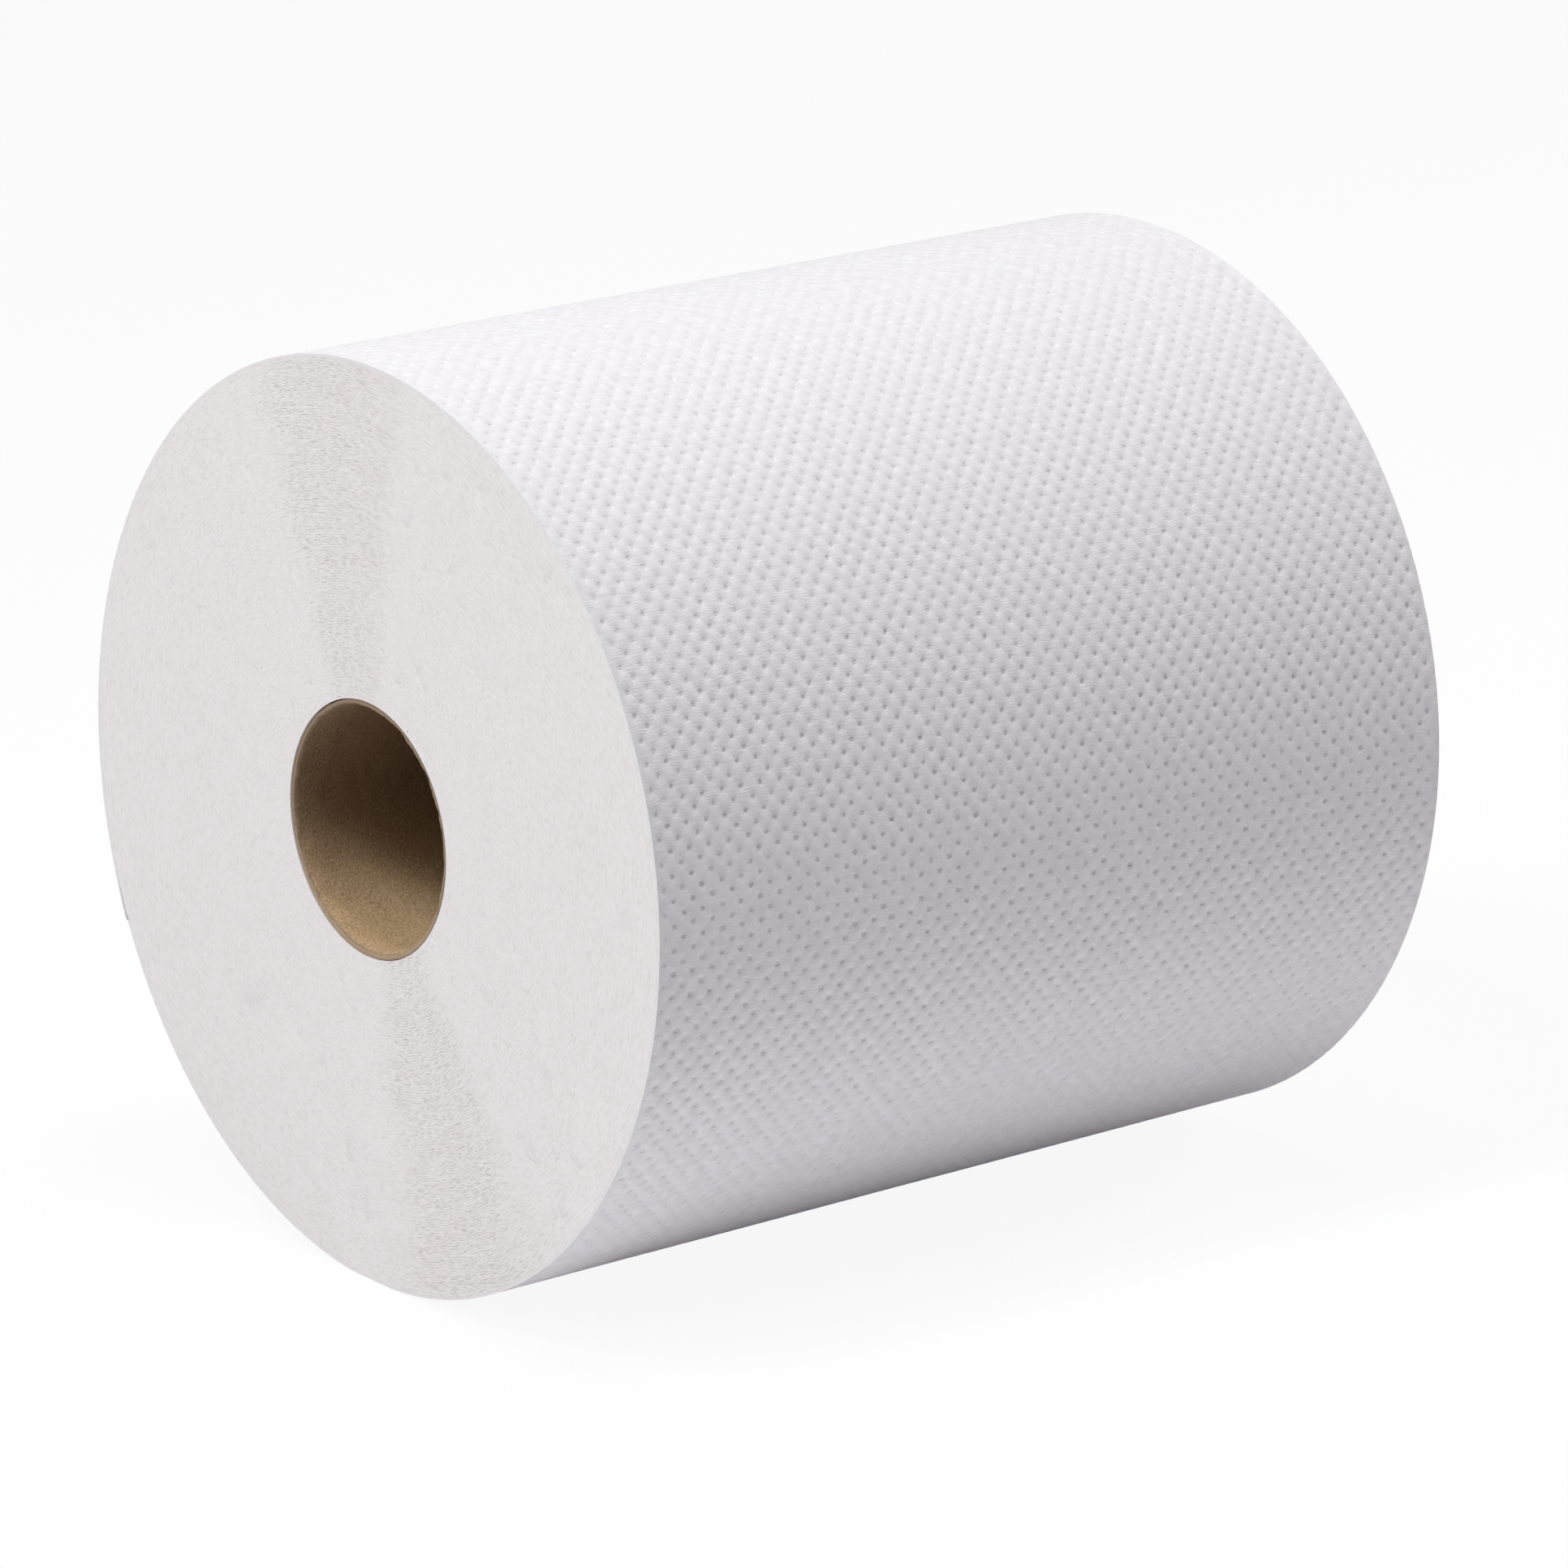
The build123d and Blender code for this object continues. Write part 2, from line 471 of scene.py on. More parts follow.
def endPattern(rng, innerRadius, outerRing):
    # points of one end as radius, angle and depth, with its faces and its two rings
    waveCurve = noiseCurve(rng)
    slits = endSlits(rng, innerRadius, outerRing[:, 0].min())
    # a slit is a wavy lens of eight points, and the points across from each other share an angle
    upper = [(-1, 0), (-0.55, 0.8), (0, 1), (0.55, 0.8)]
    outline = np.array(upper + [(-x, -y) for x, y in upper])
    theta, radius, half, width, depth, share = [slits[:, n:n + 1] for n in range(6)]
    angle = np.radians(theta) + outline[:, 0] * half / radius
    wave = waveCurve(np.degrees(angle) % 360 / turns["waveStep"] + radius / 4)
    wave = turns["wave"] * (2 * wave - 1) * share
    bend = turns["scallop"] * rng.uniform(-1, 1, share.shape) * (1 - outline[:, 0] ** 2)
    away = radius + outline[:, 1] * width + wave + bend
    back = turns["uneven"] * smoothStep(4 * share - 3) * rng.random((len(slits), 2))
    rimDepth = back.mean(1, keepdims=True) + outline[:, 1] * (back[:, :1] - back[:, 1:]) / 2
    clear = keepApart(angle, away)
    slits, depth = slits[clear], depth[clear]
    angle, away, rimDepth = angle[clear], away[clear], rimDepth[clear]
    print(len(slits), "slits on one end")
    ringSteps, eyeSteps = len(outerRing), turns["eyeSteps"]
    eyeAngle = 2 * math.pi * np.arange(eyeSteps) / eyeSteps
    polar = np.concatenate([
        np.stack([away.ravel(), angle.ravel(), rimDepth.ravel()], -1),
        np.stack([outerRing[:, 0], outerRing[:, 1], 0 * outerRing[:, 0]], -1),
        np.stack([innerRadius + 0 * eyeAngle, eyeAngle, 0 * eyeAngle], -1),
    ])
    flat = np.stack([polar[:, 0] * np.cos(polar[:, 1]), polar[:, 0] * np.sin(polar[:, 1])], -1)
    slitFaces = np.arange(8 * len(slits)).reshape(-1, 8)
    ring = 8 * len(slits) + np.arange(ringSteps)
    eye = 8 * len(slits) + ringSteps + np.arange(eyeSteps)
    borders = [(loop[i], loop[(i + 1) % len(loop)]) for loop in (ring, eye) for i in range(len(loop))]
    borders = [(int(a), int(b)) for a, b in borders]
    cut = delaunay_2d_cdt([Vector(p) for p in flat], borders, slitFaces.tolist(), 0, 1e-6, True)
    outFlat, outFaces, outSource, outFaceSource = cut[0], cut[2], cut[3], cut[5]

    # the triangulation renumbers the points, so each takes its depth from where it came
    source = np.array([s[0] if s else -1 for s in outSource])
    place = np.zeros(len(polar), int)
    place[source[source >= 0]] = np.nonzero(source >= 0)[0]
    xy = np.array(outFlat)
    sunk = np.where(source >= 0, polar[source, 2], 0)
    triangles = np.array([f for f, s in zip(outFaces, outFaceSource) if not s])
    middle = xy[triangles].mean(1)
    fromAxis = np.hypot(*middle.T)
    direction = np.arctan2(middle[:, 1], middle[:, 0])
    limit = np.interp(direction, outerRing[:, 1], outerRing[:, 0], period=2 * math.pi)
    triangles = triangles[(fromAxis > innerRadius * 0.9999) & (fromAxis < limit)]
    # down each slit run three points, each between two points of its rim
    pairs = ([1, 2, 3], [7, 6, 5])
    bottomAway = (away[:, pairs[0]] + away[:, pairs[1]]) / 2
    bottomAngle = angle[:, pairs[0]]
    bottomDepth = rimDepth.mean(1, keepdims=True) + depth * np.array([0.75, 1, 0.75])
    bottoms = np.stack([bottomAway * np.cos(bottomAngle), bottomAway * np.sin(bottomAngle)], -1)
    bottoms = bottoms.reshape(-1, 2)
    a, b, c = (len(xy) + 3 * np.arange(len(slits)) + k for k in range(3))
    r = place[slitFaces].T
    corners = (
        (r[0], r[1], a), (r[1], r[2], b, a), (r[2], r[3], c, b), (r[3], r[4], c),
        (r[4], r[5], c), (r[5], r[6], b, c), (r[6], r[7], a, b), (r[7], r[0], a),
    )
    walls = [np.stack(wall, -1) for wall in corners]
    xy = np.concatenate([xy, bottoms])
    sunk = np.concatenate([sunk, bottomDepth.ravel()])
    gap = np.concatenate([np.zeros(len(outFlat)), np.ones(3 * len(slits))])
    return xy, sunk, gap, [triangles] + walls, place[ring], place[eye]


def makeTurns():
    innerRadius = coreRadius / mm + turns["clearance"]
    angle = 2 * math.pi * np.arange(turns["ringSteps"]) / turns["ringSteps"] - math.pi
    phi = (tail["angle"] - angle) % (2 * math.pi)
    outer = (webRadius(phi) - web["thickness"]) / mm - turns["clearance"]
    fromFloor = np.degrees(angle) + 90
    outer += turns["flatBulge"] * np.clip(1 - fromFloor ** 2 / turns["bulgeHalf"] ** 2, 0, 1)
    outerRing = np.stack([outer, angle], -1)
    points, gaps, faces, rings = [], [], [], []
    count = 0
    for side in (-1, 1):
        rng = np.random.default_rng(turns["seed"] + side)
        xy, sunk, gap, pattern, ring, eye = endPattern(rng, innerRadius, outerRing)
        y = side * (rollWidth / 2 - sunk * mm)
        points.append(np.stack([xy[:, 0] * mm, y, axisHeight + xy[:, 1] * mm], -1))
        gaps.append(gap)
        faces += [group + count for group in pattern]
        rings.append((ring + count, eye + count))
        count += len(xy)
    for front, rear in zip(rings[0], rings[1]):
        faces.append(np.stack([front, np.roll(front, -1), np.roll(rear, -1), rear], -1))
    made = meshObject("wound_turns", np.concatenate(points), faces)
    pointValues(made, "gap", np.concatenate(gaps))
    finishMesh(made, math.radians(40))
    return made


woundTurns = makeTurns()


# Cardboard core: spiral-wound tube with a rough sawn rim
core = {
    "around": 900,
    "along": 30,
    "rimRows": 8,
    "rimRough": 0.08 * mm,
    "innerWear": 0.62 * mm,        # how far the saw has torn back the inner edge
    "outerWear": 0.3 * mm,         # gap that it has opened between the board and the paper
    "innerSteps": (7.2, 1.5),      # degrees over which the torn edge changes
    "outerSteps": (20, 2.5),       # and the gap
    "ply": 0.05 * mm,              # the inner plies stand back by up to this
    "plyStep": 3,
    "rimDepth": 1.2 * mm,          # the plain bore ends this far inside the sawn plane
    "rearTurn": 125,               # degrees that the rear rim's nicks are turned by
    # place and half width in degrees, and depth in millimetres
    "nicks": ((38, 5, 0.5), (21, 3, 0.35), (12, 2.5, 0.3), (-2, 3, 0.35), (-24, 4, 0.3), (64, 6, 0.3)),
    "seed": 5,
}


def makeCore():
    rng = np.random.default_rng(core["seed"])
    theta = 2 * math.pi * np.arange(core["around"]) / core["around"]
    degrees = np.degrees(theta)
    wall = coreRadius - boreRadius

    def ringNoise(step):
        # smooth noise that closes on itself after a full turn
        curve = noiseCurve(rng, int(360 / step))
        return curve(degrees / step)

    def chips(turned):
        deepest = np.zeros(len(theta))
        for place, width, deep in core["nicks"]:
            away = np.abs((degrees - place - turned + 180) % 360 - 180)
            deepest = np.maximum(deepest, deep * mm * smoothStep(1 - away / width))
        return deepest

    def sawnRim(side, nick):
        # rows from the outer edge of the rim to the bore, all just inside the sawn plane
        coarse, fine = core["innerSteps"]
        inner = core["innerWear"] * (0.25 + 0.35 * ringNoise(coarse) + 0.4 * ringNoise(fine))
        coarse, fine = core["outerSteps"]
        outer = core["outerWear"] * atLeast(0.3, ringNoise(coarse)) * atLeast(0.6, ringNoise(fine))
        ply = core["ply"] * ringNoise(core["plyStep"])
        rows = []
        for s in np.linspace(0, 1, core["rimRows"]):
            fuzz = core["rimRough"] * rng.random(len(theta))
            radius = coreRadius - s * wall - outer * (1 - s) ** 3 + (inner + 0.6 * nick) * s ** 4
            sunk = fuzz + ply * (s > 0.4) + 2.5 * outer * (1 - s) ** 6 + (0.6 * inner + nick) * s ** 3
            rows.append((radius, side * (rollWidth / 2 - sunk)))
        return rows

    front = sawnRim(-1, chips(0))
    rear = sawnRim(1, chips(core["rearTurn"]))
    bored = []
    for share in np.linspace(0, 1, core["along"] + 1):
        y = (2 * share - 1) * (rollWidth / 2 - core["rimDepth"])
        bored.append((boreRadius + 0 * theta, y + 0 * theta))
    loop = front + bored + rear[::-1]
    points = np.concatenate([onRoll(theta, r, y) for r, y in loop])
    ids = np.arange(len(points)).reshape(len(loop), -1)
    after = np.roll(ids, -1, axis=0)
    faces = np.stack([ids, np.roll(ids, -1, axis=1), np.roll(after, -1, axis=1), after], -1).reshape(-1, 4)
    made = meshObject("core_tube", points, [faces])
    finishMesh(made, math.radians(50))
    return made


coreTube = makeCore()


# Shader node helpers; a number sets a socket and anything else is linked to it
def feed(tree, socket, value):
    if isinstance(value, tuple):
        socket.default_value = (*value, 1)
    elif isinstance(value, (int, float)):
        socket.default_value = value
    else:
        tree.links.new(value, socket)


def newGroup(name, inputs, outputs):
    group = bpy.data.node_groups.new(name, "ShaderNodeTree")
    for label, kind, value in inputs:
        socket = group.interface.new_socket(name=label, in_out="INPUT", socket_type=kind)
        if value is not None:
            socket.default_value = value
    for label, kind in outputs:
        group.interface.new_socket(name=label, in_out="OUTPUT", socket_type=kind)
    return group, group.nodes.new("NodeGroupInput"), group.nodes.new("NodeGroupOutput")


def mathNode(tree, operation, *values):
    node = tree.nodes.new("ShaderNodeMath")
    node.operation = operation
    for socket, value in zip(node.inputs, values):
        feed(tree, socket, value)
    return node.outputs[0]


def rampNode(tree, value, low, high, lowOut=0.0, highOut=1.0):
    node = tree.nodes.new("ShaderNodeMapRange")
    node.interpolation_type = "SMOOTHSTEP"
    feed(tree, node.inputs["Value"], value)
    for label, number in (("From Min", low), ("From Max", high), ("To Min", lowOut), ("To Max", highOut)):
        feed(tree, node.inputs[label], number)
    return node.outputs["Result"]


def mixNode(tree, share, a, b):
    node = tree.nodes.new("ShaderNodeMix")
    node.data_type = "RGBA"
    sockets = {s.identifier: s for s in node.inputs}
    for key, value in (("Factor_Float", share), ("A_Color", a), ("B_Color", b)):
        feed(tree, sockets[key], value)
    return next(s for s in node.outputs if s.identifier == "Result_Color")


def vectorNode(tree, x, y, z=0.0):
    node = tree.nodes.new("ShaderNodeCombineXYZ")
    for socket, value in zip(node.inputs, (x, y, z)):
        feed(tree, socket, value)
    return node.outputs[0]


def noiseNode(tree, vector, scale, detail=2.0, rough=0.5):
    node = tree.nodes.new("ShaderNodeTexNoise")
    for label, value in (("Vector", vector), ("Scale", scale), ("Detail", detail), ("Roughness", rough)):
        feed(tree, node.inputs[label], value)
    return node.outputs["Fac"]


def pointValue(tree, name):
    node = tree.nodes.new("ShaderNodeAttribute")
    node.attribute_name = name
    return node.outputs["Fac"]


# Node groups shared by the papers and the board
def rollPlaces():
    # place on the roll: angle about its axis from the top, distance from the axis, place along it
    group, given, out = newGroup(
        "roll places",
        [("Point", "NodeSocketVector", None), ("Axis Height", "NodeSocketFloat", 0.0)],
        [("Angle", "NodeSocketFloat"), ("Radius", "NodeSocketFloat"), ("Along", "NodeSocketFloat")],
    )
    split = group.nodes.new("ShaderNodeSeparateXYZ")
    feed(group, split.inputs[0], given.outputs["Point"])
    across = split.outputs["X"]
    height = mathNode(group, "SUBTRACT", split.outputs["Z"], given.outputs["Axis Height"])
    square = mathNode(group, "MULTIPLY", height, height)
    radius = mathNode(group, "SQRT", mathNode(group, "MULTIPLY_ADD", across, across, square))
    # the seam of this angle lies underneath, where the roll rests
    feed(group, out.inputs["Angle"], mathNode(group, "ARCTAN2", across, height))
    feed(group, out.inputs["Radius"], radius)
    feed(group, out.inputs["Along"], split.outputs["Y"])
    return group


def strayFlecks():
    # sparse specks: one in each chosen cell, drawn out by the stretch of the coordinates
    group, given, out = newGroup(
        "stray flecks",
        [("Vector", "NodeSocketVector", None), ("Cells", "NodeSocketFloat", 100.0),
         ("Share", "NodeSocketFloat", 0.05), ("Size", "NodeSocketFloat", 0.1)],
        [("Mask", "NodeSocketFloat")],
    )
    cells = group.nodes.new("ShaderNodeTexVoronoi")
    feed(group, cells.inputs["Vector"], given.outputs["Vector"])
    feed(group, cells.inputs["Scale"], given.outputs["Cells"])
    pick = group.nodes.new("ShaderNodeSeparateXYZ")
    feed(group, pick.inputs[0], cells.outputs["Color"])
    chosen = mathNode(group, "LESS_THAN", pick.outputs["X"], given.outputs["Share"])
    grown = mathNode(group, "ADD", pick.outputs["Y"], 0.4)
    grown = mathNode(group, "MULTIPLY", given.outputs["Size"], grown)
    inside = rampNode(group, cells.outputs["Distance"], grown, mathNode(group, "MULTIPLY", grown, 0.4))
    feed(group, out.inputs["Mask"], mathNode(group, "MULTIPLY", inside, chosen))
    return group


def fibreCloud():
    # uneven formation of pressed pulp: soft clouds and fine fibres, both about 0.5
    group, given, out = newGroup(
        "fibre cloud",
        [("Vector", "NodeSocketVector", None), ("Clouds", "NodeSocketFloat", 200.0),
         ("Fibres", "NodeSocketFloat", 2500.0)],
        [("Cloud", "NodeSocketFloat"), ("Fibre", "NodeSocketFloat")],
    )
    vector = given.outputs["Vector"]
    feed(group, out.inputs["Cloud"], noiseNode(group, vector, given.outputs["Clouds"], 3.0, 0.6))
    feed(group, out.inputs["Fibre"], noiseNode(group, vector, given.outputs["Fibres"], 2.0, 0.6))
    return group


placesGroup = rollPlaces()
flecksGroup = strayFlecks()
cloudGroup = fibreCloud()


def useGroup(tree, group, **values):
    node = tree.nodes.new("ShaderNodeGroup")
    node.node_tree = group
    for label, value in values.items():
        feed(tree, node.inputs[label.replace("_", " ")], value)
    return node.outputs


def newFinish(name, settings):
    finish = bpy.data.materials.new(name)
    finish.use_nodes = True
    tree = finish.node_tree
    shader = tree.nodes["Principled BSDF"]
    shader.inputs["Roughness"].default_value = settings["roughness"]
    shader.inputs["Specular IOR Level"].default_value = settings["specular"]
    points = tree.nodes.new("ShaderNodeTexCoord").outputs["Object"]
    places = useGroup(tree, placesGroup, Point=points, Axis_Height=axisHeight)
    return finish, tree, shader, places, points


def addBump(tree, shader, height, distance):
    bump = tree.nodes.new("ShaderNodeBump")
    bump.inputs["Distance"].default_value = distance
    feed(tree, bump.inputs["Height"], height)
    feed(tree, shader.inputs["Normal"], bump.outputs["Normal"])


# Bleached towel tissue: crepe lines along the roll, soft clouds, a few grey specks
tissue = {
    "light": (0.864, 0.852, 0.864),
    "dark": (0.793, 0.78, 0.795),
    "dotShade": (0.74, 0.73, 0.75),
    "dotShadeShare": 0.2,                # share of that painted shade down in the dots
    "cutEdge": (0.77, 0.755, 0.755),
    "speck": (0.25, 0.22, 0.2),
    "crepePitch": 0.27 * mm,
    "crepeLength": 2.8 * mm,
    "crepeWaves": 1.4,
    "crepeHeight": 0.13 * mm,
    "crepeShade": 0.6,
    "pulp": {"Clouds": 330.0, "Fibres": 3000.0},
    "specks": {"Cells": 130.0, "Share": 0.012, "Size": 0.035},
    "roughness": 0.95,
    "specular": 0.2,
}


def makeTissue():
    finish, tree, shader, places, _ = newFinish("towel tissue", tissue)
    around = mathNode(tree, "MULTIPLY", places["Angle"], rollRadius)
    sheet = vectorNode(tree, around, places["Along"])
    cloud = useGroup(tree, cloudGroup, Vector=sheet, **tissue["pulp"])
    speck = useGroup(tree, flecksGroup, Vector=sheet, **tissue["specks"])
    pressed = rampNode(tree, pointValue(tree, "dot"), 0.3, 1.0)
    colour = mixNode(tree, rampNode(tree, cloud["Cloud"], 0.3, 0.7), tissue["dark"], tissue["light"])
    crepeX = mathNode(tree, "DIVIDE", around, tissue["crepePitch"])
    crepeX = mathNode(tree, "MULTIPLY_ADD", cloud["Cloud"], tissue["crepeWaves"], crepeX)
    crepeY = mathNode(tree, "DIVIDE", places["Along"], tissue["crepeLength"])
    crepe = noiseNode(tree, vectorNode(tree, crepeX, crepeY), 1.0, 2.0, 0.6)
    # painted shade: the low furrows of the crepe are darkened towards the dark tone
    furrow = mathNode(tree, "MULTIPLY", rampNode(tree, crepe, 0.55, 0.3), tissue["crepeShade"])
    colour = mixNode(tree, furrow, colour, tissue["dark"])
    # painted shade: the bottoms of the dots are darkened towards dotShade
    pressed = mathNode(tree, "MULTIPLY", pressed, tissue["dotShadeShare"])
    colour = mixNode(tree, pressed, colour, tissue["dotShade"])
    colour = mixNode(tree, mathNode(tree, "MULTIPLY", speck["Mask"], 0.8), colour, tissue["speck"])
    atCut = mathNode(tree, "ABSOLUTE", places["Along"])
    atCut = rampNode(tree, atCut, rollWidth / 2 - 0.05 * mm, rollWidth / 2 - 0.01 * mm)
    colour = mixNode(tree, atCut, colour, tissue["cutEdge"])
    feed(tree, shader.inputs["Base Color"], colour)
    crepe = mathNode(tree, "MULTIPLY_ADD", cloud["Fibre"], 0.3, crepe)
    addBump(tree, shader, crepe, tissue["crepeHeight"])
    return finish


# Sawn tissue edges: warm white, streaked along the turns, with painted shade down the slits and in the
# loose bands
sawnEdge = {
    "light": (0.80, 0.774, 0.765),
    "dark": (0.70, 0.67, 0.655),
    "loose": (0.765, 0.73, 0.71),
    "looseShadeShare": 0.25,             # share of that painted shade in the bands
    "slitShade": (0.66, 0.62, 0.595),
    "speck": (0.33, 0.29, 0.26),
    "streakPitch": 0.28 * mm,
    "streakLength": 1.15 * mm,
    "streakHeight": 0.11 * mm,
    # painted shade of fine openings between the turns, in rows across the bands
    "parted": (0.63, 0.59, 0.565),
    "partedShadeShare": 0.35,
    "partedPitch": 0.36 * mm,      # rows of fine openings in the bands, between the slits
    "partedLength": 1.5 * mm,
    "partedWaves": 2.0,
    "bandHalf": (0.2, 0.36),       # radians from a band's middle to where it starts and ends fading
    "pulp": {"Clouds": 240.0, "Fibres": 2600.0},
    "specks": {"Cells": 140.0, "Share": 0.02, "Size": 0.04},
    "roughness": 0.95,
    "specular": 0.15,
}


def makeSawnEdge():
    finish, tree, shader, places, points = newFinish("sawn tissue edges", sawnEdge)
    around = mathNode(tree, "MULTIPLY", places["Angle"], (rollRadius + coreRadius) / 2)
    along = mathNode(tree, "MULTIPLY", places["Along"], 3.0)
    cloud = useGroup(tree, cloudGroup, Vector=points, **sawnEdge["pulp"])
    speck = useGroup(tree, flecksGroup, Vector=points, **sawnEdge["specks"])
    streakX = mathNode(tree, "DIVIDE", around, sawnEdge["streakLength"])
    streakY = mathNode(tree, "DIVIDE", places["Radius"], sawnEdge["streakPitch"])
    streak = noiseNode(tree, vectorNode(tree, streakX, streakY, along), 1.0, 3.0, 0.6)
    tone = mathNode(tree, "MULTIPLY_ADD", streak, 0.85, mathNode(tree, "MULTIPLY", cloud["Cloud"], 0.15))
    colour = mixNode(tree, rampNode(tree, tone, 0.3, 0.56), sawnEdge["dark"], sawnEdge["light"])
    # a band's middle is given from the side, and the node group's angle from the top
    loose = 0.0
    for middle in turns["bands"]:
        away = mathNode(tree, "ABSOLUTE", mathNode(tree, "ADD", places["Angle"], math.radians(middle - 90)))
        ragged = mathNode(tree, "MULTIPLY_ADD", cloud["Cloud"], 0.2, away)
        inBand = rampNode(tree, ragged, sawnEdge["bandHalf"][1] + 0.1, sawnEdge["bandHalf"][0] + 0.1)
        loose = mathNode(tree, "MAXIMUM", loose, inBand)
    # painted shade: the loosened bands are darkened towards the loose colour, for the shade between their
    # open turns
    shadeShare = mathNode(tree, "MULTIPLY", loose, sawnEdge["looseShadeShare"])
    colour = mixNode(tree, shadeShare, colour, sawnEdge["loose"])
    rowX = mathNode(tree, "DIVIDE", around, sawnEdge["partedLength"])
    rowY = mathNode(tree, "DIVIDE", places["Radius"], sawnEdge["partedPitch"])
    rowY = mathNode(tree, "MULTIPLY_ADD", cloud["Cloud"], sawnEdge["partedWaves"], rowY)
    rows = noiseNode(tree, vectorNode(tree, rowX, rowY, along), 1.0, 2.0, 0.55)
    # painted shade: fine dark rows stand for the shaded openings in the bands; the bump sinks them too
    parted = mathNode(tree, "MULTIPLY", rampNode(tree, rows, 0.47, 0.33), loose)
    shadeShare = mathNode(tree, "MULTIPLY", parted, sawnEdge["partedShadeShare"])
    colour = mixNode(tree, shadeShare, colour, sawnEdge["parted"])
    # painted shade down in the slits, at their bottom points
    slit = rampNode(tree, pointValue(tree, "gap"), 0.1, 1.0)
    colour = mixNode(tree, slit, colour, sawnEdge["slitShade"])
    colour = mixNode(tree, mathNode(tree, "MULTIPLY", speck["Mask"], 0.7), colour, sawnEdge["speck"])
    feed(tree, shader.inputs["Base Color"], colour)
    height = mathNode(tree, "MULTIPLY_ADD", cloud["Fibre"], 0.5, streak)
    height = mathNode(tree, "MULTIPLY_ADD", parted, -0.4, height)
    addBump(tree, shader, height, sawnEdge["streakHeight"])
    return finish


# Kraft board: brown pulp with pale and dark fibres, paler where the saw cut it
kraft = {
    "light": (0.245, 0.16, 0.088),
    "dark": (0.13, 0.082, 0.042),
    "sawn": (0.29, 0.215, 0.155),
    # painted light for the underside of the bore near the ends
    "paintedLight": (0.68, 0.48, 0.275),
    "paintedLightReach": 88 * mm,          # the painted light reaches this far in from the ends, along the underside
    "paleFibre": (0.72, 0.56, 0.36),
    "darkFibre": (0.09, 0.055, 0.03),
    "seam": (0.16, 0.10, 0.055),
    "seamLead": 165 * mm,          # one turn of the inner ply's butt joint along the tube
    "seamWidth": 0.7 * mm,
    "seamStart": 62 * mm,
    "drawnOut": 0.55,              # the fibres lie round the tube
    "litUnderside": (1.5, 2.7),         # radians from the top, where the painted light starts and where it is full
    "sawnReach": (1.0 * mm, 0.4 * mm),
    "bump": 0.08 * mm,
    "pulp": {"Clouds": 420.0, "Fibres": 2600.0},
    "paleSpecks": {"Cells": 2000.0, "Share": 0.3, "Size": 0.4},
    "darkSpecks": {"Cells": 1700.0, "Share": 0.2, "Size": 0.4},
    "roughness": 0.85,
    "specular": 0.3,
}


def makeKraft():
    finish, tree, shader, places, _ = newFinish("kraft board", kraft)
    around = mathNode(tree, "MULTIPLY", places["Angle"], boreRadius)
    drawn = mathNode(tree, "MULTIPLY", around, kraft["drawnOut"])
    drawn = vectorNode(tree, drawn, places["Along"], places["Radius"])
    cloud = useGroup(tree, cloudGroup, Vector=drawn, **kraft["pulp"])
    pale = useGroup(tree, flecksGroup, Vector=drawn, **kraft["paleSpecks"])
    dark = useGroup(tree, flecksGroup, Vector=drawn, **kraft["darkSpecks"])
    tone = mathNode(tree, "MULTIPLY", cloud["Cloud"], 0.2)
    tone = mathNode(tree, "MULTIPLY_ADD", cloud["Fibre"], 0.8, tone)
    colour = mixNode(tree, rampNode(tree, tone, 0.34, 0.66), kraft["dark"], kraft["light"])
    # painted light: the underside of the bore near the ends is made paler, where light from the open ends
    # falls in
    fromEnd = mathNode(tree, "SUBTRACT", rollWidth / 2, mathNode(tree, "ABSOLUTE", places["Along"]))
    litUnderside = rampNode(tree, mathNode(tree, "ABSOLUTE", places["Angle"]), *kraft["litUnderside"])
    paintedLightShare = mathNode(tree, "MULTIPLY", litUnderside, rampNode(tree, fromEnd, kraft["paintedLightReach"], 0.0))
    paintedLightShare = mathNode(tree, "MULTIPLY", paintedLightShare, rampNode(tree, tone, 0.34, 0.62, 0.48, 1.0))
    colour = mixNode(tree, paintedLightShare, colour, kraft["paintedLight"])
    # pale fibres show only in that painted light
    colour = mixNode(tree, mathNode(tree, "MULTIPLY", pale["Mask"], paintedLightShare), colour, kraft["paleFibre"])
    colour = mixNode(tree, mathNode(tree, "MULTIPLY", dark["Mask"], 0.4), colour, kraft["darkFibre"])
    sawn = rampNode(tree, fromEnd, *kraft["sawnReach"])
    colour = mixNode(tree, mathNode(tree, "MULTIPLY", sawn, 0.7), colour, kraft["sawn"])
    # the butt joint of the inner ply winds along the tube
    turned = mathNode(tree, "DIVIDE", places["Angle"], 2 * math.pi)
    climbed = mathNode(tree, "ADD", places["Along"], kraft["seamStart"])
    climbed = mathNode(tree, "DIVIDE", climbed, kraft["seamLead"])
    winding = mathNode(tree, "FRACT", mathNode(tree, "SUBTRACT", climbed, turned))
    fromSeam = mathNode(tree, "ABSOLUTE", mathNode(tree, "SUBTRACT", winding, 0.5))
    half = kraft["seamWidth"] / kraft["seamLead"]
    seam = rampNode(tree, fromSeam, half, half * 0.4)
    seam = mathNode(tree, "MULTIPLY", seam, mathNode(tree, "SUBTRACT", 1.0, sawn))
    colour = mixNode(tree, mathNode(tree, "MULTIPLY", seam, 0.8), colour, kraft["seam"])
    feed(tree, shader.inputs["Base Color"], colour)
    addBump(tree, shader, mathNode(tree, "SUBTRACT", tone, seam), kraft["bump"])
    return finish


